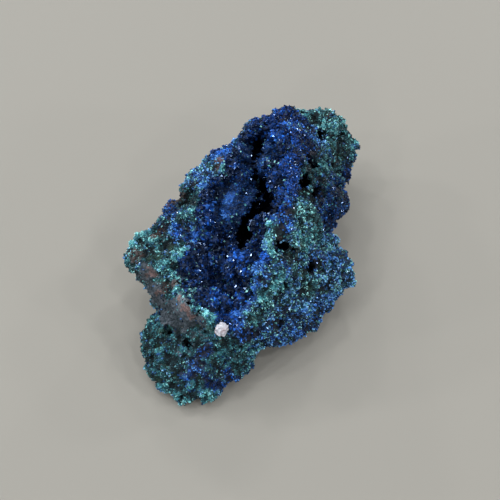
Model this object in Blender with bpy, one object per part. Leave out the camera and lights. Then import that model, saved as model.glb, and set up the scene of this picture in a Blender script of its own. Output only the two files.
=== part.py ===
"""A hand-sized azurite and malachite specimen: a lump of copper ore with a crystal-lined hollow.

Three pieces: the ore with its green crust, the azurite crust that lines the hollow, and one
white grain caught in the front edge. Metres, +Z up. The specimen rests on the flat of its
underside with the hollow facing up and its foot lobe towards -Y. The origin is the middle of
that underside.
"""
import math
import random

import bmesh
import bpy
from mathutils import Matrix, Vector
from mathutils.bvhtree import BVHTree

MM = 0.001

# Sizes in millimetres
FUSE_VOXEL = 0.5  # grid on which overlapping masses grow together
SWELL = 0.6  # what rounding takes off the masses, put back
LINING_GAP = 0.4  # between the ore and the azurite crust in its hollow
CRUST_THICKNESS = 1.2  # of that crust, where no mound stands
CRYSTAL = (0.7, 0.5, 2.2)  # half width, half depth and length of a large azurite crystal
CRYSTAL_SPACING = 2.2
CRYSTAL_CLEARANCE = 1.5  # from the middle of a crystal's foot to the next piece
GRAIN = (1.15, 1.0, 1.3)  # radii of the white grain
GRAIN_PLACE = (-3.7, -22.2, 10.5)
GRAIN_SEAT_GAP = 0.35  # round the grain

# Relief of each surface: size of a lump and its height
ORE_SWELLS = (5.0, 2.0)
ORE_NODULES = (2.4, 1.5)
HOLLOW_SWELLS = (2.5, 1.6)
CRUST_NODULES = (1.6, 0.9)

# How many triangles or crystals each surface has
ORE_FACETS = 3300
HOLLOW_FACETS = 480
CRUST_FACETS = 950
CRUST_CRYSTALS = 45
ORE_CRYSTALS = 42

# The ore's main masses, each the hull of its corners
LOWER_BODY = [
    (-16.8, -9.3, 9.5),
    (-12.8, -5.4, 12.0),
    (-8.5, 1.5, 14.0),
    (-13.5, -15.0, 7.5),
    (-8.0, -20.5, 10.0),
    (-2.5, -22.5, 10.0),
    (1.0, -20.5, 11.0),
    (4.0, -14.5, 17.0),
    (4.9, -9.2, 19.0),
    (5.7, -2.6, 19.5),
    (12.9, -5.2, 6.0),
    (13.2, -8.0, 5.0),
    (12.8, -11.0, 4.0),
    (11.6, -13.8, 3.0),
    (7.3, -18.2, 2.5),
    (2.8, -19.5, 3.0),
    (-11.0, -12.0, 0.0),
    (-12.0, -2.0, 0.0),
    (-9.0, 5.0, 0.0),
    (11.0, -8.5, 0.0),
    (5.0, -16.0, 0.0),
    (-8.0, -20.0, 0.0),
]
UPPER_BODY = [
    (-8.5, 2.0, 14.0),
    (-5.2, 6.2, 14.8),
    (-2.1, 9.2, 15.2),
    (1.9, 13.4, 15.0),
    (6.4, 13.6, 15.8),
    (6.8, 4.6, 19.5),
    (5.7, -2.6, 19.5),
    (4.9, -7.0, 18.5),
    (14.0, 5.4, 7.5),
    (13.4, 2.0, 6.5),
    (14.4, 8.5, 7.5),
    (-9.0, 5.0, 0.0),
    (-3.0, 12.0, 0.0),
    (5.0, 15.0, 0.0),
    (12.0, 12.0, 0.0),
    (11.5, 2.0, 0.0),
    (-5.0, -2.0, 0.0),
]
KNOB = [
    (8.7, 16.2, 14.2),
    (13.8, 18.8, 12.6),
    (16.1, 16.4, 10.6),
    (16.8, 14.8, 8.8),
    (15.4, 10.0, 7.5),
    (8.0, 8.0, 15.0),
    (10.0, 4.0, 13.0),
    (7.0, 15.0, 4.0),
    (12.0, 17.0, 4.0),
    (14.0, 10.0, 3.0),
]
FOOT = [
    (-14.2, -17.5, 6.0),
    (-15.2, -21.2, 3.8),
    (-13.4, -25.0, 2.2),
    (-8.8, -27.7, 1.5),
    (-5.4, -27.5, 1.5),
    (-1.7, -25.0, 2.2),
    (1.0, -20.5, 3.6),
    (-10.0, -18.5, 8.5),
    (-4.0, -22.3, 8.5),
    (-0.5, -19.8, 8.0),
    (-12.0, -18.0, 0.0),
    (-11.0, -24.0, 0.0),
    (-7.5, -26.2, 0.0),
    (-4.0, -24.5, 0.0),
    (0.0, -19.0, 0.0),
]
# Rounded lumps that break the outline: centre and radius
LUMPS = [
    ((5.9, 13.0, 14.8), 2.5),
    ((1.6, 11.6, 13.6), 2.2),
    ((12.0, 3.8, 6.6), 3.0),
    ((11.7, -8.0, 4.8), 3.0),
    ((-14.5, -8.7, 9.2), 2.4),
    ((10.8, 15.0, 11.8), 3.2),
]
# Lobes of the hollow: centre, radii, turn about Z in degrees
HOLLOW = [
    ((-1.2, -5.2, 16.8), (6.9, 7.6, 7.6), -15),
    ((1.3, 4.2, 17.4), (5.5, 6.6, 5.4), 0),
    ((1.0, -1.6, 12.0), (3.8, 7.0, 5.6), -24),
    ((-3.2, -12.2, 15.6), (6.0, 5.6, 5.0), -10),
    ((-3.6, -17.0, 13.2), (5.0, 4.4, 3.8), 0),
    ((-7.4, -15.4, 13.0), (3.6, 4.0, 3.0), 20),
]
# Rounded mounds of crust in the hollow: centre and radius. The first three are the large smooth ones.
MOUNDS = [
    ((-2.3, -1.0, 10.4), 4.6),
    ((-2.8, 6.4, 12.8), 3.6),
    ((2.7, 5.8, 13.4), 3.1),
    ((-0.4, -11.6, 12.2), 2.6),
    ((-6.8, -8.4, 12.0), 2.6),
]
SMOOTH_MOUNDS = MOUNDS[:3]
# Pits and furrows in the ore: centre, radii, turn about Z in degrees
PITS = [
    ((4.4, -14.1, 17.6), (0.9, 1.3, 1.9), 0),
    ((11.2, 11.2, 14.4), (1.0, 1.0, 1.5), 0),
    ((9.2, 3.4, 15.6), (0.8, 2.4, 1.4), -20),
    ((7.5, -1.4, 16.8), (0.9, 2.0, 1.6), -10),
    ((9.7, -0.8, 13.4), (1.0, 1.2, 1.2), 0),
    ((8.4, -12.8, 11.6), (1.2, 1.0, 1.0), 0),
    ((-9.1, -1.9, 13.8), (0.9, 2.0, 1.2), -25),
    ((-9.8, -12.7, 11.6), (1.0, 0.8, 0.8), 0),
    ((-10.9, -20.2, 7.0), (0.8, 1.2, 1.0), 20),
    ((-8.4, -22.1, 7.2), (0.7, 0.8, 1.0), 0),
]
# Where the ore's large azurite crystals grow: the ridge and right flank, and the foot's right side
RIDGE_LINE = (3.5, 0.25)  # x of the ridge at y = 0, and how much x it gains for each unit of y
FOOT_CORNER = (-7.0, -23.0)
CRYSTAL_FLOOR = 2.0


def purge_scene():
    """An empty scene to build in."""
    for thing in list(bpy.data.objects):
        bpy.data.objects.remove(thing, do_unlink=True)


def add_object(name, bm):
    """A mesh object made of what bm holds."""
    mesh = bpy.data.meshes.new(name)
    bm.to_mesh(mesh)
    bm.free()
    thing = bpy.data.objects.new(name, mesh)
    bpy.context.scene.collection.objects.link(thing)
    return thing


def copy_of(thing, name):
    twin = thing.copy()
    twin.data = thing.data.copy()
    twin.name = name
    bpy.context.scene.collection.objects.link(twin)
    return twin


def hide(thing):
    """Marks a cutter or a guide."""
    thing.hide_render = True
    thing.display_type = "WIRE"
    return thing


def settle(thing):
    """Makes the mesh what its modifiers make of it."""
    graph = bpy.context.evaluated_depsgraph_get()
    mesh = bpy.data.meshes.new_from_object(thing.evaluated_get(graph))
    thing.modifiers.clear()
    thing.data = mesh
    return thing


def add_hull(bm, corners):
    """The convex hull of the corners, as one closed body."""
    verts = [bm.verts.new(Vector(corner) * MM) for corner in corners]
    made = bmesh.ops.convex_hull(bm, input=verts)
    spare = made["geom_unused"] + made["geom_interior"]
    loose = {part for part in spare if isinstance(part, bmesh.types.BMVert)}
    bmesh.ops.delete(bm, geom=list(loose), context="VERTS")


def add_lump(bm, centre, radii, turn=0.0, rings=3):
    """An ellipsoid, turned about Z."""
    place = Matrix.Translation(Vector(centre) * MM)
    place = place @ Matrix.Rotation(math.radians(turn), 4, "Z")
    place = place @ Matrix.Diagonal((*(Vector(radii) * MM), 1.0))
    bmesh.ops.create_icosphere(bm, subdivisions=rings, radius=1.0, matrix=place)


def fuse(thing, voxel=FUSE_VOXEL, smooth=0):
    """Grows overlapping bodies into one skin."""
    remesh = thing.modifiers.new("fuse", "REMESH")
    remesh.mode = "VOXEL"
    remesh.voxel_size = voxel * MM
    if smooth:
        soften = thing.modifiers.new("soften", "SMOOTH")
        soften.factor = 0.5
        soften.iterations = smooth
    return settle(thing)


def roughen(thing, kind, relief, swell=0.0):
    """Raises lumps of one size over the surface, and moves it all out by swell."""
    size, height = relief
    texture = bpy.data.textures.new(f"{kind}_{size}", kind)
    texture.noise_scale = size * MM
    push = thing.modifiers.new("roughen", "DISPLACE")
    push.texture = texture
    push.texture_coords = "LOCAL"
    push.strength = height * MM
    push.mid_level = 0.5 - swell / height
    return settle(thing)


def offset(thing, distance):
    """Moves the whole skin out, or in where distance is negative."""
    push = thing.modifiers.new("offset", "DISPLACE")
    push.strength = distance * MM
    push.mid_level = 0.0
    return settle(thing)


def boolean(thing, other, operation):
    cut = thing.modifiers.new(operation.lower(), "BOOLEAN")
    cut.operation = operation
    cut.solver = "EXACT"
    cut.object = other
    return settle(thing)


def thin_out(thing, triangles):
    """Fewer, larger facets."""
    thing.data.calc_loop_triangles()
    fewer = thing.modifiers.new("thin", "DECIMATE")
    fewer.ratio = min(1.0, triangles / len(thing.data.loop_triangles))
    fewer.use_collapse_triangulate = True
    return settle(thing)


def linked_to(start, left):
    """Takes out of left, and gives, all vertices that edges join to start."""
    stack = [start]
    left.discard(start)
    body = []
    while stack:
        vert = stack.pop()
        body.append(vert)
        for edge in vert.link_edges:
            other = edge.other_vert(vert)
            if other in left:
                left.discard(other)
                stack.append(other)
    return body


def keep_largest(thing):
    """Drops the crumbs and bubbles that a cut leaves."""
    bm = bmesh.new()
    bm.from_mesh(thing.data)
    left = set(bm.verts)
    bodies = []
    while left:
        bodies.append(linked_to(next(iter(left)), left))
    bodies.sort(key=len)
    for body in bodies[:-1]:
        bmesh.ops.delete(bm, geom=body, context="VERTS")
    bm.to_mesh(thing.data)
    bm.free()
    return thing


def skin_of(thing):
    """What finds the nearest point of a mesh."""
    return BVHTree.FromObject(thing, bpy.context.evaluated_depsgraph_get())


def clear_of(skins, point):
    return all(skin.find_nearest(point)[3] > CRYSTAL_CLEARANCE * MM for skin in skins)


def add_crystal(bm, point, normal, size, turn):
    """A four-sided prism with a chisel end, half sunk in what it grows from."""
    half_width, half_depth, length = (size * measure * MM for measure in CRYSTAL)
    place = Matrix.Translation(point) @ normal.to_track_quat("Z", "Y").to_matrix().to_4x4()
    place = place @ Matrix.Rotation(turn, 4, "Z")
    plan = [(-1, -1), (1, -1), (1, 1), (-1, 1)]

    def ring(height):
        return [bm.verts.new(place @ Vector((x * half_width, y * half_depth, height))) for x, y in plan]

    foot = ring(-0.5 * length)
    shoulder = ring(0.25 * length)
    left = bm.verts.new(place @ Vector((-0.5 * half_width, 0.0, 0.5 * length)))
    right = bm.verts.new(place @ Vector((0.5 * half_width, 0.0, 0.5 * length)))
    bm.faces.new(reversed(foot))
    for k in range(4):
        bm.faces.new((foot[k], foot[k - 3], shoulder[k - 3], shoulder[k]))
    bm.faces.new((shoulder[0], shoulder[1], right, left))
    bm.faces.new((shoulder[2], shoulder[3], left, right))
    bm.faces.new((shoulder[1], shoulder[2], right))
    bm.faces.new((shoulder[3], shoulder[0], left))


def grow_crystals(thing, count, allowed, seed):
    """Fuses well-spaced crystals to the surface where allowed(point, normal) says so."""
    draw = random.Random(seed)
    faces = [(face.center.copy(), face.normal.copy()) for face in thing.data.polygons]
    draw.shuffle(faces)
    bm = bmesh.new()
    taken = []
    for point, normal in faces:
        if len(taken) == count:
            break
        crowded = any((point - other).length < CRYSTAL_SPACING * MM for other in taken)
        if crowded or not allowed(point, normal):
            continue
        taken.append(point)
        lean = Vector([draw.uniform(-0.5, 0.5) for _ in range(3)])
        size = draw.uniform(0.75, 1.1)
        add_crystal(bm, point, (normal + lean).normalized(), size, draw.uniform(0.0, math.pi))
    crystals = hide(add_object("crystals", bm))
    boolean(thing, crystals, "UNION")
    bpy.data.objects.remove(crystals)
    return keep_largest(thing)


def build_body():
    """The whole specimen's outside, with no hollow yet."""
    bm = bmesh.new()
    for corners in (LOWER_BODY, UPPER_BODY, KNOB, FOOT):
        add_hull(bm, corners)
    for centre, radius in LUMPS:
        add_lump(bm, centre, (radius, radius, radius))
    body = add_object("ore", bm)
    fuse(body, smooth=4)
    roughen(body, "CLOUDS", ORE_SWELLS, swell=SWELL)
    size, height = ORE_NODULES
    roughen(body, "VORONOI", (size, -height))
    fuse(body)
    return thin_out(body, ORE_FACETS)


def build_lobes(name, shrink, facets):
    """The hollow's lobes as one cutter, each smaller by shrink."""
    bm = bmesh.new()
    for centre, radii, turn in HOLLOW:
        add_lump(bm, centre, [radius - shrink for radius in radii], turn)
    lobes = add_object(name, bm)
    fuse(lobes, smooth=2)
    roughen(lobes, "CLOUDS", HOLLOW_SWELLS)
    return hide(thin_out(lobes, facets))


def build_air():
    """The air in the hollow: its lobes less the crust and the mounds."""
    air = build_lobes("air", LINING_GAP + CRUST_THICKNESS, 4000)
    bm = bmesh.new()
    for centre, radius in MOUNDS:
        add_lump(bm, centre, (radius, radius, radius))
    mounds = hide(add_object("mounds", bm))
    fuse(mounds, smooth=1)
    boolean(air, mounds, "DIFFERENCE")
    fuse(air, 0.4, smooth=2)
    roughen(air, "VORONOI", CRUST_NODULES)
    return hide(thin_out(air, CRUST_FACETS))


def build_pits():
    bm = bmesh.new()
    for centre, radii, turn in PITS:
        add_lump(bm, centre, radii, turn, rings=2)
    return hide(add_object("pits", bm))


def build_ground():
    """A block whose top is the plane that the specimen rests on."""
    side = 100.0 * MM
    bm = bmesh.new()
    bmesh.ops.create_cube(bm, size=side, matrix=Matrix.Translation((0.0, 0.0, -0.5 * side)))
    return hide(add_object("ground", bm))


def build_grain():
    """A rough lump of white mineral, a little angular."""
    draw = random.Random(5)
    bm = bmesh.new()
    add_lump(bm, GRAIN_PLACE, GRAIN, 25.0, rings=2)
    for vert in bm.verts:
        vert.co += Vector([draw.uniform(-0.09, 0.09) for _ in range(3)]) * MM
    return add_object("white_grain", bm)


def in_blue_rock(point, normal):
    """Whether the ore is blue here."""
    x, y, z = point / MM
    across_ridge = x > RIDGE_LINE[0] + RIDGE_LINE[1] * y
    on_foot = x > FOOT_CORNER[0] and y < FOOT_CORNER[1]
    return z > CRYSTAL_FLOOR and normal.z > -0.2 and (across_ridge or on_foot)


def on_smooth_mound(point):
    return any((point - Vector(centre) * MM).length < (radius + 0.5) * MM for centre, radius in SMOOTH_MOUNDS)


def settle_on_origin(pieces):
    """Puts the middle of the underside at the origin."""
    corners = [vert.co for piece in pieces for vert in piece.data.vertices]
    low = [min(corner[k] for corner in corners) for k in range(3)]
    high = [max(corner[k] for corner in corners) for k in range(3)]
    shift = Vector((-0.5 * (low[0] + high[0]), -0.5 * (low[1] + high[1]), -low[2]))
    for piece in pieces:
        piece.data.transform(Matrix.Translation(shift))


def give_material(thing, colour, roughness):
    material = bpy.data.materials.new(thing.name)
    material.use_nodes = True
    shader = material.node_tree.nodes["Principled BSDF"]
    shader.inputs["Base Color"].default_value = (*colour, 1.0)
    shader.inputs["Roughness"].default_value = roughness
    shader.inputs["Metallic"].default_value = 0.0
    thing.data.materials.clear()
    thing.data.materials.append(material)


purge_scene()
ore = build_body()
grain = build_grain()
hollow = build_lobes("hollow", 0.0, HOLLOW_FACETS)
lining = hide(offset(copy_of(hollow, "lining"), -LINING_GAP))
seat = hide(offset(copy_of(grain, "seat"), GRAIN_SEAT_GAP))

crust = copy_of(ore, "azurite_crust")
boolean(crust, lining, "INTERSECT")
boolean(crust, build_air(), "DIFFERENCE")
keep_largest(crust)

for cutter in (hollow, build_pits(), build_ground(), seat):
    boolean(ore, cutter, "DIFFERENCE")
keep_largest(ore)

ore_skin = skin_of(ore)
crust_skin = skin_of(crust)
grain_skin = skin_of(grain)
grow_crystals(
    crust,
    CRUST_CRYSTALS,
    lambda point, normal: not on_smooth_mound(point) and clear_of([ore_skin, grain_skin], point),
    seed=3,
)
grow_crystals(
    ore,
    ORE_CRYSTALS,
    lambda point, normal: in_blue_rock(point, normal) and clear_of([crust_skin, grain_skin], point),
    seed=4,
)

settle_on_origin([ore, crust, grain])
give_material(ore, (0.035, 0.13, 0.15), 0.75)
give_material(crust, (0.012, 0.03, 0.17), 0.35)
give_material(grain, (0.55, 0.5, 0.52), 0.5)
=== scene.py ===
import math

import bpy
import numpy as np
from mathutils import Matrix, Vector, noise
from mathutils.bvhtree import BVHTree


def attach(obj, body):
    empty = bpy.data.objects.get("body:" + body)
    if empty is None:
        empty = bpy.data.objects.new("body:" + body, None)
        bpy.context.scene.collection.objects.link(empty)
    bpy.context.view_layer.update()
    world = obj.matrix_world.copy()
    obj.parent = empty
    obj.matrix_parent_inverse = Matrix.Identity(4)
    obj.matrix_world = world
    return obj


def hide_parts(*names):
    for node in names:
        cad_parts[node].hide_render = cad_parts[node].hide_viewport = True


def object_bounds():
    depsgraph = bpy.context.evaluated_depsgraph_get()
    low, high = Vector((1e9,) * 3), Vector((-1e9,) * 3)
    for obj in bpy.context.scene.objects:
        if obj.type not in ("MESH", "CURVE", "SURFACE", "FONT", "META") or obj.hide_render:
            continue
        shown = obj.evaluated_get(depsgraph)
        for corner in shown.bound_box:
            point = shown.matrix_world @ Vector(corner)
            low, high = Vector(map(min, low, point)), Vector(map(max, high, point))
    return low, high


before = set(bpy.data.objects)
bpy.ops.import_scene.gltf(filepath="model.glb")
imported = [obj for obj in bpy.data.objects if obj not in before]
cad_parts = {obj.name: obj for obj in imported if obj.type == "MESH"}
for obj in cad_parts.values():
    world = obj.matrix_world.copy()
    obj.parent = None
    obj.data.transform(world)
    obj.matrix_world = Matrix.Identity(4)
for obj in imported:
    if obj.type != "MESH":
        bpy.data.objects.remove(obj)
cad_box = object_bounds()

# The camera looks down at the stone at 50 degrees from its long side. It stands
# close, about 12 cm away, and aims a little past the middle of the stone.
MM = 0.001
CAMERA_RISE = math.radians(50)
CAMERA_DISTANCE = 0.116
VIEW_ANGLE = math.radians(38)
aim = Vector((-0.217, 4.314, 0.0)) * MM
back = Vector((0.0, -math.cos(CAMERA_RISE), math.sin(CAMERA_RISE)))
bpy.ops.object.camera_add(location=aim + back * CAMERA_DISTANCE)
camera = bpy.context.object
camera.name = "camera"
camera.rotation_euler = back.to_track_quat("Z", "Y").to_euler()
camera.data.sensor_fit = "HORIZONTAL"
camera.data.angle = VIEW_ANGLE
camera.data.clip_start = 0.001
bpy.context.scene.camera = camera
bpy.context.scene.view_settings.view_transform = "Standard"


# The stone lies on a plain pale table top in soft daylight from the upper left.
# Small bright panes all around it put the white glints on the crystal faces.
def add_light(name, width, power, place, colour):
    bpy.ops.object.light_add(type="AREA", location=place)
    light = bpy.context.object
    light.name = name
    light.data.shape = "DISK"
    light.data.size = width
    light.data.energy = power
    light.data.color = colour
    light.rotation_euler = (Vector(place) - aim).to_track_quat("Z", "Y").to_euler()


bpy.ops.object.select_all(action="DESELECT")
bpy.ops.mesh.primitive_plane_add(size=1.6)
table = bpy.context.object
table.name = "table_top"
paint = bpy.data.materials.new("pale_table")
paint.use_nodes = True
surface = paint.node_tree.nodes["Principled BSDF"]
surface.inputs["Base Color"].default_value = (0.24, 0.23, 0.205, 1)
surface.inputs["Roughness"].default_value = 0.75
table.data.materials.append(paint)
add_light("sky_light", width=0.50, power=1.1, place=(-0.16, 0.08, 0.44), colour=(0.97, 0.99, 1.0))

# The panes, from low to high, each turned on from the one before, in degrees
PANES = 16
PANE_TURN = 137.5
PANE_DISTANCE = 0.46
for number in range(PANES):
    height = 0.30 + 0.65 * number / PANES
    turn = math.radians(60 + PANE_TURN * number)
    flat = math.sqrt(1 - height**2)
    spot = Vector((math.cos(turn) * flat, math.sin(turn) * flat, height)) * PANE_DISTANCE
    add_light(f"pane_{number}", width=0.036, power=0.25, place=spot, colour=(1.0, 1.0, 1.0))
world = bpy.data.worlds.new("room")
world.use_nodes = True
background = world.node_tree.nodes["Background"]
background.inputs["Color"].default_value = (0.86, 0.93, 1.0, 1)
background.inputs["Strength"].default_value = 0.24
bpy.context.scene.world = world


# The ore body is porous rock under a crust of green malachite and blue azurite,
# one rough lump. It is made from the CAD solid: remeshed finely, then lumps,
# grains and worm-like pits are pushed in. Colour areas follow the photograph.
ORE_VOXEL = 0.24 * MM

# What covers an area: blueness, brightness, bare rock
NAVY = (0.92, 0.10, 0.0)
ROYAL = (1.0, 0.32, 0.0)
SKY = (0.85, 0.75, 0.0)
AZURE = (0.78, 0.42, 0.0)
NIGHT = (0.70, 0.22, 0.0)
# Painted shade: a darker dull blue for a flank that lies in shade
SHADED_FLANK = (0.62, 0.0, 0.0)
HAZE = (0.68, 0.85, 0.0)
SLATE = (0.62, 0.53, 0.0)
MIXED = (0.46, 0.58, 0.0)
TEAL = (0.10, 0.62, 0.0)
FERN = (0.12, 0.30, 0.0)
LICHEN = (0.14, 0.48, 0.32)
# Painted shade: dark green for pits and furrows that lie in shade
SHADED_PITS = (0.10, 0.0, 0.0)
MINT = (0.0, 1.0, 0.0)
ROCK = (0.3, 0.3, 1.0)

# Areas: place across and down the view, reach in mm, what covers it
AREAS = (
    (278, 116, 3.0, NAVY), (296, 112, 2.5, NAVY), (262, 118, 2.5, NAVY), (250, 130, 2.5, NIGHT),
    (291, 126, 2.0, AZURE), (300, 140, 2.0, NAVY), (296, 160, 2.0, NAVY), (290, 182, 2.2, NAVY),
    (286, 205, 2.0, ROYAL), (288, 220, 1.8, AZURE), (280, 234, 1.8, TEAL), (265, 258, 1.6, ROYAL),
    (276, 256, 1.4, TEAL), (258, 275, 2.4, SLATE), (247, 290, 2.4, NAVY), (240, 310, 2.4, NAVY),
    (238, 326, 1.4, AZURE),
    (310, 112, 2.2, TEAL), (330, 113, 3.0, TEAL), (346, 135, 2.6, FERN), (340, 155, 2.6, FERN),
    (312, 130, 2.2, SLATE), (309, 150, 2.4, NAVY), (323, 158, 2.4, FERN), (338, 172, 2.0, FERN),
    (343, 192, 2.6, SHADED_FLANK), (337, 215, 2.4, NIGHT), (305, 172, 1.8, SHADED_PITS), (300, 190, 2.0, TEAL),
    (318, 205, 2.2, NIGHT), (306, 215, 3.0, TEAL), (314, 198, 1.4, SHADED_PITS), (320, 228, 2.4, FERN),
    (332, 240, 2.4, MIXED), (300, 235, 2.2, TEAL), (288, 255, 1.6, SHADED_PITS), (300, 262, 2.2, MIXED),
    (318, 262, 2.6, SLATE),
    (340, 258, 2.4, SLATE), (345, 275, 2.4, MIXED), (330, 285, 3.0, MIXED), (310, 285, 2.6, TEAL),
    (330, 305, 3.0, SLATE), (312, 315, 3.0, SLATE), (295, 300, 2.4, MIXED), (292, 328, 2.4, SLATE),
    (275, 285, 2.2, TEAL), (262, 300, 2.2, TEAL), (272, 315, 2.4, MIXED), (257, 318, 2.0, FERN),
    (250, 332, 2.0, AZURE), (284, 270, 1.8, SLATE), (268, 335, 2.4, SLATE),
    (225, 150, 2.2, AZURE), (212, 170, 2.4, MIXED), (203, 180, 2.2, SLATE), (191, 201, 2.4, SHADED_PITS),
    (204, 209, 1.6, NIGHT), (203, 221, 1.3, NIGHT), (187, 216, 1.6, FERN), (172, 212, 2.4, NIGHT),
    (163, 225, 2.4, MIXED), (178, 229, 1.8, AZURE), (190, 238, 1.8, NIGHT), (201, 231, 0.6, MINT),
    (206, 243, 1.5, NIGHT), (196, 250, 1.6, MIXED),
    (150, 240, 3.0, TEAL), (136, 240, 2.0, MINT), (130, 252, 2.4, TEAL), (149, 254, 1.8, SHADED_PITS),
    (165, 241, 1.6, SHADED_PITS), (165, 254, 2.2, TEAL), (158, 248, 1.0, MINT), (182, 249, 1.0, MINT),
    (182, 260, 2.0, TEAL), (168, 268, 2.2, TEAL), (180, 274, 1.8, TEAL), (171, 257, 1.0, MINT),
    (180, 284, 1.6, TEAL), (190, 293, 1.5, TEAL), (160, 280, 1.4, FERN),
    (146, 272, 1.4, ROCK), (142, 287, 1.4, TEAL), (152, 293, 1.9, ROCK), (163, 305, 2.5, ROCK),
    (180, 315, 2.4, ROCK), (194, 322, 1.9, ROCK), (170, 293, 1.4, FERN), (182, 302, 1.2, ROCK),
    (196, 303, 1.3, FERN), (203, 307, 1.5, TEAL), (211, 317, 0.6, MINT), (222, 312, 1.6, NAVY),
    (150, 322, 2.4, FERN), (160, 340, 3.0, FERN), (172, 318, 2.6, ROCK), (190, 333, 2.2, LICHEN),
    (205, 332, 2.0, LICHEN), (222, 342, 2.2, LICHEN), (240, 346, 2.2, FERN), (253, 343, 2.0, MIXED),
    (155, 365, 2.8, FERN), (178, 352, 2.2, LICHEN), (168, 378, 2.6, TEAL), (205, 352, 1.5, AZURE),
    (222, 352, 2.0, FERN), (182, 364, 1.8, TEAL), (197, 369, 2.6, HAZE), (189, 374, 1.6, SKY),
    (212, 366, 2.0, FERN), (228, 378, 1.8, AZURE), (240, 362, 1.8, FERN), (209, 384, 1.3, NAVY),
    (213, 391, 0.6, SKY),
    (222, 392, 1.5, MIXED), (190, 388, 2.2, FERN), (178, 401, 1.4, MINT), (205, 400, 2.0, TEAL),
)

# Rusty spots: place across and down the view, size in mm
RUST = (
    (135, 254, 1.5), (176, 200, 1.5), (219, 162, 1.2), (154, 236, 0.9), (160, 231, 0.7),
    (175, 284, 0.8), (162, 289, 1.1), (181, 304, 0.6), (187, 311, 0.8), (192, 316, 0.6),
    (155, 295, 0.5), (330, 114, 0.9), (333, 138, 0.8), (281, 238, 0.8), (150, 270, 1.0),
)

# Pits outside, then deep gaps in the hollow, painted black inside as shade: place across
# and down the view, radius and depth in mm. The deep ones go in along the view, the others
# more squarely to the surface.
DEEP = 2.4
HOLES = (
    (323, 134, 0.9, 1.6), (310, 157, 0.7, 1.4), (316, 167, 0.6, 1.2), (303, 180, 0.9, 1.6),
    (308, 184, 0.6, 1.4), (315, 191, 0.7, 1.4), (319, 197, 0.5, 1.2), (319, 212, 0.6, 1.2),
    (283, 245, 0.9, 2.2), (312, 266, 0.6, 1.2), (286, 286, 0.6, 1.2), (328, 285, 0.5, 1.0),
    (284, 324, 0.6, 1.2), (186, 342, 0.4, 0.9), (168, 332, 0.4, 0.9), (200, 312, 0.4, 0.9),
    (189, 304, 0.28, 0.7), (296, 249, 0.4, 1.0),
    (265, 186, 1.3, 5.0), (267, 194, 1.6, 6.0), (265, 202, 1.6, 6.0), (261, 210, 1.4, 5.5),
    (256, 217, 1.1, 5.0), (250, 224, 1.3, 4.5), (247, 231, 1.45, 4.4), (244, 238, 1.3, 4.2),
    (257, 179, 0.7, 2.6), (258, 142, 1.0, 3.0), (257, 148, 1.0, 3.0), (254, 155, 0.6, 2.6),
    (253, 164, 0.3, 2.5), (256, 172, 0.4, 2.5),
)

# The three sides that the photograph doesn't show: place in mm, reach, cover
UNSEEN = (
    ((-8, 12, 9), 4, TEAL), ((-3, 17, 12), 4, MIXED), ((4, 21, 10), 4, SLATE), ((12, 20, 9), 4, TEAL),
    ((-14, 0, 6), 4, FERN), ((-5, 18, 4), 4, ROCK), ((6, 22, 3), 4, FERN), ((17, 12, 8), 4, NAVY),
    ((-10, 6, 3), 4, ROCK), ((15, 16, 4), 4, MIXED),
)


def mesh_tree(objects):
    points, faces = [], []
    for item in objects:
        start = len(points)
        points += [v.co.copy() for v in item.data.vertices]
        faces += [[start + i for i in p.vertices] for p in item.data.polygons]
    return BVHTree.FromPolygons(points, faces)


bare_stone = mesh_tree([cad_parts[node] for node in ("ore", "azurite_crust")])
HALF_VIEW = 250


def seen_at(across, down):
    """Where the camera sees the stone at one point of its 500 by 500 view, and which way
    the stone faces there."""
    wide = math.tan(camera.data.angle / 2)
    right = Vector(((across - HALF_VIEW) / HALF_VIEW * wide, 0, 0))
    up = Vector((0.0, back.z, -back.y)) * ((HALF_VIEW - down) / HALF_VIEW * wide)
    return bare_stone.ray_cast(camera.location, (right + up - back).normalized())[:2]


def spots_seen(rows):
    """Rows of across, down and reach in mm, as places on the stone and reaches in metres."""
    spots = []
    for across, down, reach, *cover in rows:
        place = seen_at(across, down)[0]
        if place is not None:
            spots.append((place, reach * MM, *cover))
    return spots


def points_of(piece):
    flat = np.empty(len(piece.data.vertices) * 3)
    piece.data.vertices.foreach_get("co", flat)
    return flat.reshape(-1, 3)


def normals_of(piece):
    flat = np.empty(len(piece.data.vertices) * 3)
    piece.data.vertex_normals.foreach_get("vector", flat)
    return flat.reshape(-1, 3)


def set_points(piece, points):
    piece.data.vertices.foreach_set("co", points.ravel())
    piece.data.update()


def ragged(points, grain, seed):
    """Smooth noise from -1 to 1 at each point."""
    shift = Vector((seed * 7.3, seed * 3.1, seed * 5.7))
    return np.array([noise.noise(Vector(p) / grain + shift) for p in points])


def near_spots(points, spots):
    share = np.zeros(len(points))
    for place, size in spots:
        gap = np.linalg.norm(points - np.array(place), axis=1)
        share = np.maximum(share, np.clip(1.5 - gap / size, 0, 1))
    return share


def drill(piece, deeper=1.0):
    """Presses the pits and gaps in and returns how much painted shade each vertex takes in one, from
    0 to 1.
    """
    above, full_shade_depth = 2.5 * MM, 1.1 * MM
    points = points_of(piece)
    wobble = np.stack([ragged(points, 0.8 * MM, s) for s in (4, 5, 6)], axis=1) * 0.55 * MM
    share = np.zeros(len(points))
    for place, radius, depth, inward in holes:
        way = np.array(inward)
        along = (points - np.array(place)) @ way
        across = np.linalg.norm(points + wobble - np.array(place) - along[:, None] * way, axis=1)
        bottom = depth * deeper * np.clip(2.0 - 1.7 * across / radius, 0, 1)
        push = np.where((along > -above) & (bottom > 0), np.maximum(bottom - along, 0), 0)
        points += push[:, None] * way
        share = np.maximum(share, np.clip(push / full_shade_depth, 0, 1))
    set_points(piece, points)
    return share


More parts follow.
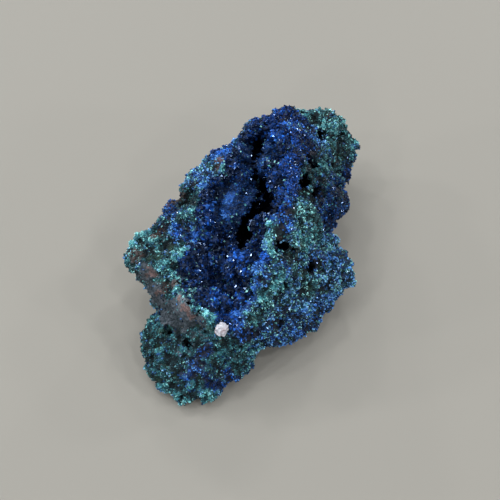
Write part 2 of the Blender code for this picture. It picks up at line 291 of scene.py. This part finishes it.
def cover_of(points):
    """How blue, how bright, how bare and how rusty the stone is at each point."""
    wobble = np.stack([ragged(points, 1.6 * MM, s) for s in (1, 2, 3)], axis=1)
    moved = points + wobble * 0.9 * MM
    total = np.zeros(len(points))
    cover = np.zeros((len(points), 3))
    for place, reach, kind in areas:
        gap = np.linalg.norm(moved - np.array(place), axis=1) / reach
        weight = 1 / (0.02 + gap**5)
        total += weight
        cover += weight[:, None] * np.array(kind)
    cover /= total[:, None]
    return cover[:, 0], cover[:, 1], cover[:, 2], near_spots(moved, rust)


def choose(piece):
    bpy.ops.object.select_all(action="DESELECT")
    piece.select_set(True)
    bpy.context.view_layer.objects.active = piece


def fine_copy(node, name, voxel):
    """A merged copy of a CAD solid, remeshed finely enough to carry grain."""
    piece = bpy.data.objects.new(name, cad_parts[node].data.copy())
    bpy.context.collection.objects.link(piece)
    piece.data.name = name
    piece.data.materials.clear()
    choose(piece)
    bpy.ops.object.mode_set(mode="EDIT")
    bpy.ops.mesh.select_all(action="SELECT")
    bpy.ops.mesh.remove_doubles(threshold=1e-6)
    bpy.ops.object.mode_set(mode="OBJECT")
    remesh = piece.modifiers.new("remesh", "REMESH")
    remesh.mode = "VOXEL"
    remesh.voxel_size = voxel
    bpy.ops.object.modifier_apply(modifier=remesh.name)
    return piece


def press(piece, kind, grain, depth, weights=None, middle=0.5, hole=0.0, **settings):
    """Pushes a noise pattern into a piece; weights say how much of it each vertex takes.
    With a hole size, only the middles of the pattern's cells go in, as pores."""
    texture = bpy.data.textures.new(f"{piece.name}_{kind.lower()}", kind)
    texture.noise_scale = grain
    if hole:
        texture.use_color_ramp = True
        texture.color_ramp.elements[0].color = (0, 0, 0, 1)
        texture.color_ramp.elements[1].color = (1, 1, 1, 1)
        texture.color_ramp.elements[1].position = hole
    for key, value in settings.items():
        setattr(texture, key, value)
    choose(piece)
    modifier = piece.modifiers.new("grain", "DISPLACE")
    modifier.texture = texture
    modifier.texture_coords = "LOCAL"
    modifier.strength = depth
    modifier.mid_level = middle
    if weights is not None:
        group = piece.vertex_groups.new(name="take")
        for level in range(1, 11):
            chosen = np.nonzero(np.round(weights * 10).astype(int) == level)[0]
            if len(chosen):
                group.add(chosen.tolist(), level / 10, "REPLACE")
        modifier.vertex_group = group.name
    bpy.ops.object.modifier_apply(modifier=modifier.name)
    piece.vertex_groups.clear()


def write_values(piece, **columns):
    for key, values in columns.items():
        layer = piece.data.attributes.new(key, "FLOAT", "POINT")
        layer.data.foreach_set("value", np.asarray(values, dtype=np.float32))


def keep_in_box(piece, spare=0.25 * MM):
    """Nothing goes below the table or far past the CAD box."""
    low, high = np.array(cad_box[0]), np.array(cad_box[1])
    points = np.clip(points_of(piece), low - spare, high + spare)
    points[:, 2] = np.maximum(points[:, 2], 0)
    set_points(piece, points)


def pushed_out(piece, before, normals):
    """How far each vertex has moved out from where it was."""
    return np.sum((points_of(piece) - before) * normals, axis=1)


def relief_of(piece, before, normals):
    """How far out each vertex stands beside the rest, from about -2 to 2."""
    height = pushed_out(piece, before, normals)
    return (height - height.mean()) / height.std()


areas = spots_seen(AREAS) + [(Vector(p) * MM, reach * MM, cover) for p, reach, cover in UNSEEN]
rust = spots_seen(RUST)
holes = []
for across, down, radius, depth in HOLES:
    place, facing = seen_at(across, down)
    inward = (place - camera.location).normalized()
    if depth < DEEP:
        inward = (inward * 0.8 - facing).normalized()
    holes.append((place, radius * MM, depth * MM, inward))

ore = fine_copy("ore", "ore_body", ORE_VOXEL)
smooth_points, smooth_normals = points_of(ore), normals_of(ore)
blue, glow, bare, rusty = cover_of(smooth_points)
on_base = smooth_points[:, 2] < 0.1 * MM
wormy = np.clip((1 - blue) * (1 - bare), 0, 1) * ~on_base
grainy = np.clip(1 - 0.6 * bare, 0, 1) * ~on_base
press(ore, "CLOUDS", grain=2.4 * MM, depth=1.3 * MM, weights=grainy, middle=0.45, noise_depth=2)
press(ore, "VORONOI", grain=0.9 * MM, depth=-0.7 * MM, weights=grainy, middle=0.42)
press(ore, "VORONOI", grain=1.5 * MM, depth=0.9 * MM, weights=wormy, middle=1.0, hole=0.3)
press(
    ore, "CLOUDS", grain=0.8 * MM, depth=0.6 * MM, weights=wormy, middle=0.3,
    noise_depth=1, noise_type="HARD_NOISE",
)
press(ore, "CLOUDS", grain=0.4 * MM, depth=0.35 * MM, weights=grainy, middle=0.45, noise_depth=2)

# The grain makes the stone swell, so it is sunk by as much, and by less where it
# meets the lining
rind = mesh_tree([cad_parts["azurite_crust"]])
to_rind = np.array([rind.find_nearest(Vector(p), 3 * MM)[3] or 3 * MM for p in smooth_points])
by_rind = np.clip(1.6 - to_rind / MM, 0, 1)
swell = pushed_out(ore, smooth_points, smooth_normals).mean()
sunk = ~on_base * (swell + (0.12 - 0.4 * by_rind) * MM)
set_points(ore, points_of(ore) - sunk[:, None] * smooth_normals)
relief = relief_of(ore, smooth_points, smooth_normals)
# dark is the painted shade in the pits: how deep each vertex lies in one, from 0 to 1
dark = drill(ore, deeper=1.15)
keep_in_box(ore)
write_values(ore, blue=blue, glow=glow, bare=bare, rusty=rusty, dark=dark, relief=relief)


class Wire:
    """A socket of a material. Sums on wires add Math nodes, and node() adds any other node."""

    def __init__(self, tree, socket):
        self.tree = tree
        self.socket = socket

    def node(self, kind, settings, sockets, out=0):
        made = self.tree.nodes.new(kind)
        for key, value in settings.items():
            if key == "stops":
                while len(made.color_ramp.elements) < len(value):
                    made.color_ramp.elements.new(0.5)
                for stop, (place, colour) in zip(made.color_ramp.elements, value):
                    stop.position = place
                    stop.color = (*colour, 1)
            else:
                setattr(made, key, value)
        for key, value in sockets.items():
            if isinstance(value, Wire):
                self.tree.links.new(value.socket, made.inputs[key])
            elif isinstance(value, tuple) and len(value) == 3 and made.inputs[key].type == "RGBA":
                made.inputs[key].default_value = (*value, 1)
            else:
                made.inputs[key].default_value = value
        return Wire(self.tree, made.outputs[out]) if made.outputs else None

    def sum(self, operation, first, second=0.0, clamp=False):
        settings = {"operation": operation, "use_clamp": clamp}
        return self.node("ShaderNodeMath", settings, {0: first, 1: second})

    def __add__(self, other):
        return self.sum("ADD", self, other)

    def __sub__(self, other):
        return self.sum("SUBTRACT", self, other)

    def __rsub__(self, other):
        return self.sum("SUBTRACT", other, self)

    def __mul__(self, other):
        return self.sum("MULTIPLY", self, other)

    __radd__ = __add__
    __rmul__ = __mul__

    def held(self):
        """The value kept between 0 and 1."""
        return self.sum("ADD", self, 0.0, clamp=True)

    def mixed(self, first, second):
        """From the first colour to the second as this value goes from 0 to 1."""
        sockets = {0: self, 6: first, 7: second}
        return self.node("ShaderNodeMix", {"data_type": "RGBA"}, sockets, out=2)

    def ramp(self, *stops):
        return self.node("ShaderNodeValToRGB", {"stops": stops}, {0: self})

    def noise(self, scale, detail=2.0, rough=0.5):
        sockets = {"Vector": self, "Scale": scale, "Detail": detail, "Roughness": rough}
        return self.node("ShaderNodeTexNoise", {}, sockets, out="Fac")

    def value(self, name):
        return self.node("ShaderNodeAttribute", {"attribute_name": name}, {}, out="Fac")

    def bump(self, depth, strength=1.0):
        sockets = {"Height": self, "Distance": depth, "Strength": strength}
        return self.node("ShaderNodeBump", {}, sockets)

    def shade(self, **sockets):
        """Ends the material in one surface shader, with names such as Base_Color."""
        named = {key.replace("_", " "): value for key, value in sockets.items()}
        finish = self.node("ShaderNodeBsdfPrincipled", {}, named)
        self.node("ShaderNodeOutputMaterial", {}, {"Surface": finish})


def new_material(name):
    material = bpy.data.materials.new(name)
    material.use_nodes = True
    material.node_tree.nodes.clear()
    start = Wire(material.node_tree, None)
    return material, start.node("ShaderNodeTexCoord", {}, {}, out="Object")


# Colours of azurite, malachite, greyer azurite, rock and rust, from dark to bright
BLUES = (
    (0.0, (0.001, 0.003, 0.014)), (0.3, (0.004, 0.018, 0.09)), (0.55, (0.008, 0.055, 0.27)),
    (0.8, (0.012, 0.105, 0.58)), (1.0, (0.03, 0.22, 0.90)),
)
GREENS = (
    (0.0, (0.002, 0.008, 0.011)), (0.3, (0.012, 0.056, 0.072)), (0.55, (0.034, 0.170, 0.212)),
    (0.8, (0.085, 0.38, 0.42)), (1.0, (0.32, 0.76, 0.76)),
)
DULLS = (
    (0.0, (0.002, 0.005, 0.014)), (0.3, (0.009, 0.027, 0.075)), (0.55, (0.026, 0.086, 0.22)),
    (0.8, (0.060, 0.18, 0.42)), (1.0, (0.20, 0.47, 0.76)),
)
ROCKS = ((0.0, (0.012, 0.020, 0.026)), (0.5, (0.080, 0.098, 0.122)), (1.0, (0.22, 0.30, 0.35)))
RUSTS = ((0.0, (0.035, 0.022, 0.019)), (0.5, (0.15, 0.076, 0.064)), (1.0, (0.31, 0.16, 0.11)))
OLIVE = (0.05, 0.13, 0.075)
# Black painted as shade deep in the pits
PAINTED_PIT_SHADE = (0.003, 0.004, 0.006)


def azurite_colour(level, dull_share):
    return dull_share.mixed(level.ramp(*BLUES), level.ramp(*DULLS))


def malachite_colour(place, level):
    """Green with patches of olive."""
    olive_share = ((place.noise(650, 2.0) - 0.56) * 5).held() * 0.35
    return olive_share.mixed(level.ramp(*GREENS), OLIVE)


crusted, place = new_material("green_crusted_ore")
fine = place.noise(3600, 3.0, 0.65)
mid = place.noise(1100, 3.0)
# Painted shade: the relief term makes low spots darker, and the level is kept low so the surface
# showing between the grains is dark as shade.
level = place.value("relief") * 0.22 + fine * 1.6 + place.value("glow") * 0.4
level = (level + place.value("bare") * 0.15 - 0.8).held()
blue_share = ((place.value("blue") + mid * 1.6 + fine * 0.8 - 1.7) * 5 + 0.5).held()
bare_share = ((place.value("bare") + mid * 1.2 + fine * 0.6 - 1.35) * 5 + 0.5).held()
rust_share = ((place.value("rusty") + mid * 1.6 + fine * 1.2 - 2.1) * 4 + 0.5).held() * 0.65
# The pits are painted black as shade.
pit_shade_share = place.value("dark").held()
dull_share = (1.8 - place.value("blue") * 2).held()
colour = blue_share.mixed(malachite_colour(place, level), azurite_colour(level, dull_share))
colour = bare_share.mixed(colour, level.ramp(*ROCKS))
colour = rust_share.mixed(colour, level.ramp(*RUSTS))
colour = pit_shade_share.mixed(colour, PAINTED_PIT_SHADE)
place.shade(
    Base_Color=colour,
    Roughness=(0.75 - blue_share * 0.3 + fine * 0.2 + pit_shade_share).held(),
    IOR=1.35,
    Normal=(fine + mid).bump(0.12 * MM, 0.8),
)
ore.data.materials.append(crusted)

# Painted shade: a black finish that reflects nothing, for the faces deep in pits and gaps.
shadow, place = new_material("painted_cleft_shade")
fine = place.noise(3000, 2.0)
place.shade(
    Base_Color=fine.ramp((0.3, (0.0004, 0.0004, 0.001)), (0.8, (0.0015, 0.002, 0.004))),
    Roughness=(0.7 + fine * 0.3).held(),
    Specular_IOR_Level=0.0,
)


def paint_cleft_shade(piece, share):
    """Gives the faces deep in the pits and gaps the black finish of painted shade."""
    piece.data.materials.append(shadow)
    corner = np.array([p.vertices[0] for p in piece.data.polygons])
    piece.data.polygons.foreach_set("material_index", (share[corner] > 0.6).astype(np.int32))


paint_cleft_shade(ore, dark)
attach(ore, "root")
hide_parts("ore")


# The azurite lining is a rind of dark blue crystals in the open hollow, grown on
# its walls and on three rounded mounds. It is made from the CAD rind, remeshed
# finely and roughened, smoother on the mounds than on the walls.
LINING_VOXEL = 0.165 * MM

# The mounds: middle and reach in mm
MOUNDS = (((-2.5, 3.3, 10.4), 4.6), ((-3.0, 10.7, 12.8), 3.6), ((2.5, 10.1, 13.4), 3.1))

# Where the lining is brighter blue: place across and down the view, reach in mm
BRIGHT = (
    (240, 255, 1.0), (235, 250, 0.7), (280, 137, 1.8), (270, 133, 1.2), (264, 162, 1.0),
    (228, 150, 1.0), (280, 215, 0.7), (268, 240, 1.0), (265, 255, 0.9), (272, 228, 0.9),
    (249, 272, 0.5), (240, 296, 0.8), (210, 208, 1.2), (230, 200, 1.0), (205, 235, 0.9),
    (215, 300, 0.9), (222, 297, 0.7), (233, 318, 0.9), (226, 213, 0.9), (212, 222, 0.9),
    (297, 165, 0.7), (294, 175, 0.7),
)

# Where malachite has crept over its edge, in the same way
OVERGROWN = (
    (176, 276, 1.0), (181, 286, 1.1), (187, 295, 1.1), (196, 304, 1.0), (205, 311, 0.8),
    (262, 254, 0.5), (258, 300, 0.8), (250, 318, 0.8), (268, 284, 0.9), (276, 258, 0.8),
    (203, 232, 0.5), (253, 268, 0.5), (251, 287, 0.5), (246, 306, 0.5), (240, 277, 0.3),
)

lining = fine_copy("azurite_crust", "azurite_lining", LINING_VOXEL)
smooth_points, smooth_normals = points_of(lining), normals_of(lining)
overgrown = near_spots(smooth_points, spots_seen(OVERGROWN))
overgrown = np.clip(overgrown + 0.5 * ragged(smooth_points, 0.6 * MM, 15), 0, 1)
mounds = [(Vector(p) * MM, reach * MM) for p, reach in MOUNDS]
on_mound = near_spots(smooth_points, mounds) > 0.35
rough_take = np.where(on_mound, 0.5, 1.0)
press(lining, "CLOUDS", grain=2.0 * MM, depth=1.3 * MM, middle=0.45, noise_depth=1)
press(lining, "VORONOI", grain=1.3 * MM, depth=-0.8 * MM, weights=on_mound * 1.0, middle=0.40)
press(lining, "VORONOI", grain=0.7 * MM, depth=-0.6 * MM, weights=rough_take, middle=0.42)
press(
    lining, "CLOUDS", grain=0.35 * MM, depth=0.3 * MM, weights=rough_take, middle=0.45,
    noise_depth=2,
)
lining_relief = relief_of(lining, smooth_points, smooth_normals)
# How much painted shade each vertex takes deep in a gap, from 0 to 1
gap_depth_shade = drill(lining)
keep_in_box(lining)
bright = near_spots(smooth_points, spots_seen(BRIGHT))
lining_glow = 0.04 + 0.7 * bright + 0.34 * on_mound
write_values(lining, glow=lining_glow, dark=gap_depth_shade, relief=lining_relief, dull=on_mound * 0.35)

# Black painted as shade deep in the gaps
PAINTED_GAP_SHADE = (0.0005, 0.0005, 0.002)
azurite, place = new_material("azurite_rind")
fine = place.noise(4200, 3.0, 0.65)
mid = place.noise(1300, 3.0)
# The gaps are painted black as shade.
gap_shade_share = place.value("dark").held()
# Painted shade: the relief term makes low spots darker, and the level is kept low so the rind showing
# between the crystals is dark as shade.
level = place.value("relief") * 0.14 + fine * 1.2 + mid * 0.4 + place.value("glow") * 0.5
level = (level - 0.85).held()
colour = azurite_colour(level, place.value("dull").held())
colour = gap_shade_share.mixed(colour, PAINTED_GAP_SHADE)
place.shade(
    Base_Color=colour,
    Roughness=(0.35 + fine * 0.3 + gap_shade_share).held(),
    Specular_Tint=(0.5, 0.7, 1.0),
    IOR=1.45,
    Normal=(fine + mid).bump(0.1 * MM, 0.8),
)
lining.data.materials.append(azurite)
paint_cleft_shade(lining, gap_depth_shade)
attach(lining, "root")
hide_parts("azurite_crust")


# The white grain is a pinkish white crystal fragment stuck in a pocket at the
# front of the stone. It is the CAD grain, remeshed and chipped a little.
PEBBLE_VOXEL = 0.07 * MM
pebble = fine_copy("white_grain", "white_pebble", PEBBLE_VOXEL)
press(pebble, "CLOUDS", grain=0.9 * MM, depth=0.5 * MM, middle=0.8, noise_depth=1)
press(
    pebble, "VORONOI", grain=0.45 * MM, depth=-0.2 * MM, middle=0.3,
    distance_metric="MANHATTAN",
)

quartz, place = new_material("white_mineral")
fine = place.noise(2600, 3.0, 0.6)
stain = ((place.noise(900, 2.0) - 0.5) * 5).held()
colour = ((fine - 0.3) * 1.8).held().ramp(
    (0.0, (0.30, 0.31, 0.36)), (0.5, (0.58, 0.58, 0.64)), (1.0, (0.86, 0.86, 0.92))
)
place.shade(
    Base_Color=stain.mixed(colour, (0.50, 0.42, 0.46)),
    Roughness=(0.3 + fine * 0.3).held(),
    IOR=1.55,
    Subsurface_Weight=0.15,
    Subsurface_Radius=(0.0008, 0.0006, 0.0005),
    Normal=fine.bump(0.08 * MM, 0.6),
)
pebble.data.materials.append(quartz)
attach(pebble, "root")
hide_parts("white_grain")


# The azurite crystals stand all over the lining: small glossy prisms with chisel
# ends, grown out of the surface at all angles, and finer on the mounds. Three are
# cut, and each is copied thousands of times at seeded places.
def taken_apart(piece):
    """Triangulates the piece in edit mode and returns its points and faces, then removes it."""
    bpy.ops.mesh.select_all(action="SELECT")
    bpy.ops.mesh.quads_convert_to_tris()
    bpy.ops.mesh.normals_make_consistent(inside=False)
    bpy.ops.object.mode_set(mode="OBJECT")
    bpy.ops.object.transform_apply(location=True, rotation=True, scale=True)
    points = points_of(piece)
    faces = np.array([tuple(p.vertices) for p in piece.data.polygons])
    bpy.data.objects.remove(piece)
    return points, faces


def cut_crystal(sides, flat, cuts):
    """One crystal, 1 high with its root below zero, its end cut by slanting planes."""
    bpy.ops.object.select_all(action="DESELECT")
    bpy.ops.mesh.primitive_cylinder_add(vertices=sides, radius=0.42, depth=2.4, location=(0, 0, 0.8))
    crystal = bpy.context.object
    bpy.ops.object.mode_set(mode="EDIT")
    bpy.ops.mesh.select_all(action="SELECT")
    bpy.ops.transform.resize(value=(1.0, flat, 1.0))
    for normal, top in cuts:
        bpy.ops.mesh.select_all(action="SELECT")
        bpy.ops.mesh.bisect(plane_co=(0, 0, top), plane_no=normal, use_fill=True, clear_outer=True)
    return taken_apart(crystal)


CRYSTALS = (
    cut_crystal(sides=4, flat=0.7, cuts=(((0.8, 0.0, 0.6), 1.0), ((-0.8, 0.1, 0.6), 0.95))),
    cut_crystal(sides=4, flat=0.9, cuts=(((0.5, 0.2, 0.8), 0.9), ((-0.7, -0.2, 0.7), 1.0))),
    cut_crystal(sides=4, flat=0.45, cuts=(((0.2, 0.7, 0.7), 0.9), ((0.1, -0.8, 0.6), 1.0))),
)
fine_stone = mesh_tree([ore, lining])


def in_the_open(point, normal):
    """True where nothing is close in front of the surface, as it is under the rind."""
    start = point + normal * 0.15 * MM
    return fine_stone.ray_cast(start, normal, 1.3 * MM)[0] is None


def stand_on(piece, count, seed, wanted):
    """Seeded places on a piece's faces, with their normals; wanted weighs each vertex."""
    rng = np.random.default_rng(seed)
    mesh = piece.data
    size = len(mesh.polygons)
    areas_of, centres, normals = np.empty(size), np.empty(size * 3), np.empty(size * 3)
    mesh.polygons.foreach_get("area", areas_of)
    mesh.polygons.foreach_get("center", centres)
    mesh.polygons.foreach_get("normal", normals)
    corner = np.array([p.vertices[0] for p in mesh.polygons])
    weight = areas_of * wanted[corner]
    chosen = rng.choice(size, count, p=weight / weight.sum())
    points = centres.reshape(-1, 3)[chosen] + rng.normal(0, 0.05 * MM, (count, 3))
    normals = normals.reshape(-1, 3)[chosen]
    free = np.array([
        in_the_open(Vector(p), Vector(n)) and p[2] > 0.25 * MM for p, n in zip(points, normals)
    ])
    return points[free], normals[free], corner[chosen][free]


def strewn(name, kinds, points, axes, sizes, seed, **columns):
    """One mesh of many small copies: each stands on its point along its axis."""
    rng = np.random.default_rng(seed)
    spin = rng.uniform(0, 2 * math.pi, len(points))
    upright = np.abs(axes[:, 2:]) >= 0.9
    aside = np.cross(axes, np.where(upright, [[1.0, 0.0, 0.0]], [[0.0, 0.0, 1.0]]))
    aside /= np.linalg.norm(aside, axis=1)[:, None]
    other = np.cross(axes, aside)
    first = aside * np.cos(spin)[:, None] + other * np.sin(spin)[:, None]
    turn = np.stack([first, np.cross(axes, first), axes], axis=2)
    kind_of = rng.integers(0, len(kinds), len(points))
    all_points, all_faces, owner, start = [], [], [], 0
    for index, (shape, faces) in enumerate(kinds):
        mine = np.nonzero(kind_of == index)[0]
        placed = np.einsum("nij,nkj->nki", turn[mine], shape[None] * sizes[mine][:, None, None])
        all_points.append((placed + points[mine][:, None]).reshape(-1, 3))
        offsets = start + np.arange(len(mine)) * len(shape)
        all_faces.append((faces[None] + offsets[:, None, None]).reshape(-1, 3))
        owner.append(np.repeat(mine, len(shape)))
        start += len(mine) * len(shape)
    corners = np.concatenate(all_faces).ravel().astype(np.int32)
    owner = np.concatenate(owner)
    mesh = bpy.data.meshes.new(name)
    mesh.vertices.add(start)
    mesh.vertices.foreach_set("co", np.concatenate(all_points).ravel())
    mesh.loops.add(len(corners))
    mesh.loops.foreach_set("vertex_index", corners)
    mesh.polygons.add(len(corners) // 3)
    mesh.polygons.foreach_set("loop_start", np.arange(0, len(corners), 3, dtype=np.int32))
    mesh.polygons.foreach_set("use_smooth", np.full(len(corners) // 3, False))
    mesh.update(calc_edges=True)
    piece = bpy.data.objects.new(name, mesh)
    bpy.context.collection.objects.link(piece)
    keep_in_box(piece, 0.5 * MM)
    write_values(piece, **{key: np.asarray(values)[owner] for key, values in columns.items()})
    return piece


def leaning(normals, seed, spread):
    """The normals, each turned aside by a seeded amount."""
    rng = np.random.default_rng(seed)
    axes = normals + rng.normal(0, spread, normals.shape)
    return axes / np.linalg.norm(axes, axis=1)[:, None]


def patchy(points, glow_there):
    """Brightness that also varies from one cluster of crystals to the next."""
    return glow_there + 0.38 * ragged(points, 1.1 * MM, 9)


def strew_in_bands(name, parts, kinds, spots, along, chosen, material, slot, **values):
    """Strews copies on the chosen spots, as a few pieces cut into bands along one axis."""
    points, axes, sizes = spots
    edges = np.quantile(points[chosen, along], np.linspace(0, 1, parts + 1)[1:-1])
    band = np.searchsorted(edges, points[:, along])
    for number in range(parts):
        mask = chosen & (band == number)
        mine = (points[mask], axes[mask], sizes[mask])
        columns = {key: column[mask] for key, column in values.items()}
        piece = strewn(f"{name}_{number + 1}", kinds, *mine, seed=number, **columns)
        piece.data.materials.append(material)
        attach(piece, "root")


facets, place = new_material("azurite_facets")
fine = place.noise(2500, 2.0)
# Crystals deep in the gaps are painted black as shade.
gap_shade_share = place.value("dark").held()
level = (place.value("shade") * 0.62 + place.value("glow") * 0.7 + fine * 0.3 - 0.3).held()
colour = azurite_colour(level, place.value("dull").held())
colour = gap_shade_share.mixed(colour, PAINTED_GAP_SHADE)
place.shade(
    Base_Color=colour,
    Roughness=(0.04 + fine * 0.16 + gap_shade_share).held(),
    Specular_Tint=(0.4, 0.6, 1.0),
    IOR=1.6,
)

wanted = np.clip(1.0 - 1.3 * gap_depth_shade, 0, 1) * (1.0 + 1.2 * on_mound) * (1 - 0.8 * overgrown)
points, normals, corner = stand_on(lining, count=26000, seed=17, wanted=wanted)
rng = np.random.default_rng(18)
mound_here = on_mound[corner]
sizes = rng.uniform(0.20, 0.52, len(points)) * np.where(mound_here, 0.55, 1.0) * MM
points -= normals * sizes[:, None] * 0.3
sizes *= np.where(rng.uniform(0, 1, len(points)) < 0.04, 1.7, 1.0)
# The relief term paints crystals in low spots darker, as shade.
shade = 1.1 * rng.uniform(0, 1, len(points)) ** 1.6 - 0.08 + 0.15 * lining_relief[corner]
shade = np.where(mound_here, 0.2 + 0.5 * shade, shade)
dull = 0.3 * mound_here + 0.5 * rng.uniform(0, 1, len(points)) ** 2
axes = leaning(normals, seed=13, spread=0.45)

# The axes across the stone and along it
SIDEWAYS, LENGTHWAYS = 0, 1
strew_in_bands(
    "hollow_crystals", 2, CRYSTALS, (points, axes, sizes), LENGTHWAYS, np.full(len(points), True),
    facets, "azurite",
    shade=shade, glow=patchy(points, lining_glow[corner]), dark=gap_depth_shade[corner], dull=dull,
)


# Outside, smaller azurite crystals stand in the blue areas and along the rim,
# among the malachite, which grew as pointed grains and short tufts of needles.
# Some malachite has crept over the edge of the hollow too.
def malachite_bead(sides, seed):
    """A squat pointed grain, 1 wide, knocked out of shape."""
    bpy.ops.object.select_all(action="DESELECT")
    bpy.ops.mesh.primitive_cone_add(vertices=sides, radius1=0.55, depth=1.0, location=(0, 0, 0.2))
    bead = bpy.context.object
    bpy.ops.object.mode_set(mode="EDIT")
    bpy.ops.mesh.select_all(action="SELECT")
    bpy.ops.transform.vertex_random(offset=0.2, seed=seed)
    return taken_apart(bead)


def malachite_tuft(lean):
    """Three short needles grown from one root."""
    bpy.ops.object.select_all(action="DESELECT")
    bpy.ops.mesh.primitive_cone_add(vertices=4, radius1=0.26, depth=1.3, location=(0, 0, 0.25))
    tuft = bpy.context.object
    bpy.ops.object.mode_set(mode="EDIT")
    for turn in (0.4, 3.3):
        aside = (math.cos(turn) * 0.3, math.sin(turn) * 0.3, 0.2)
        tip = (-math.sin(turn) * lean, math.cos(turn) * lean, turn)
        bpy.ops.mesh.primitive_cone_add(
            vertices=4, radius1=0.2, depth=1.1, location=aside, rotation=tip
        )
    return taken_apart(tuft)


# The foot's middle, where the grains are finer and more even: place across and
# down the view, reach in mm
VELVETY = ((188, 364, 6.0),)

wanted = np.clip(1.1 - 0.85 * bare - 0.6 * np.clip(rusty, 0, 1) - 1.2 * dark, 0, 1)
wanted *= np.clip(0.75 + 0.35 * relief, 0.1, 1.5) * ~on_base
points, normals, corner = stand_on(ore, count=74000, seed=21, wanted=wanted)
rng = np.random.default_rng(22)
toss = rng.uniform(-0.5, 0.5, len(points))
patches = ragged(points, 0.7 * MM, 7) * 0.8 + ragged(points, 1.9 * MM, 8) * 0.4
is_blue = blue[corner] + toss * 0.6 + patches > 0.5
axes = leaning(normals, seed=23, spread=0.4)
velvety = near_spots(points, spots_seen(VELVETY))
spread = (0.62 + 0.98 * glow[corner]) * (1 - 0.25 * velvety)
# The relief term paints grains in low spots darker, as shade.
shade = spread * (1.6 * rng.uniform(0, 1, len(points)) ** 1.3 - 0.5) + 0.3 + 0.16 * relief[corner]
# A few grains are painted much lighter: pale grains, and painted sparkle among them.
pale_sparkle_share = (0.03 + 0.13 * glow[corner]) * (1 - 0.6 * velvety)
shade += 0.5 * (rng.uniform(0, 1, len(points)) < pale_sparkle_share)
shade -= 0.4 * bare[corner]
values = {"shade": shade, "glow": patchy(points, glow[corner]), "dark": dark[corner]}
sizes = rng.uniform(0.15, 0.38, len(points)) * (1 - 0.15 * velvety) * MM
points -= normals * sizes[:, None] * 0.25
dull = 1.8 - 2 * blue[corner] + rng.uniform(-0.3, 0.3, len(points))
strew_in_bands(
    "outer_crystals", 2, CRYSTALS, (points, axes, sizes), LENGTHWAYS, is_blue,
    facets, "azurite", dull=dull, **values,
)

velvet, place = new_material("malachite_grains")
fine = place.noise(3000, 2.0)
level = (place.value("shade") * 0.62 + place.value("glow") * 0.6 + fine * 0.4 - 0.3).held()
# Grains deep in pits and gaps are painted black as shade.
colour = place.value("dark").held().mixed(malachite_colour(place, level), PAINTED_PIT_SHADE)
place.shade(Base_Color=colour, Roughness=(0.2 + fine * 0.3).held(), IOR=1.5)
GRAINS = (
    malachite_bead(sides=4, seed=3), malachite_bead(sides=5, seed=8),
    malachite_bead(sides=6, seed=5), malachite_tuft(lean=0.6),
)
strew_in_bands(
    "malachite", 3, GRAINS, (points, axes, sizes), SIDEWAYS, ~is_blue,
    velvet, "green_crusted_ore", **values,
)

wanted = np.clip(overgrown - gap_depth_shade, 0, 1)
points, normals, corner = stand_on(lining, count=2200, seed=31, wanted=wanted)
axes = leaning(normals, seed=33, spread=0.4)
sizes = rng.uniform(0.15, 0.38, len(points)) * MM
shade = 1.5 * rng.uniform(0, 1, len(points)) ** 1.3 - 0.1
strew_in_bands(
    "malachite_rim", 1, GRAINS, (points, axes, sizes), SIDEWAYS, np.full(len(points), True),
    velvet, "green_crusted_ore",
    shade=shade, glow=patchy(points, 0.5), dark=gap_depth_shade[corner],
)
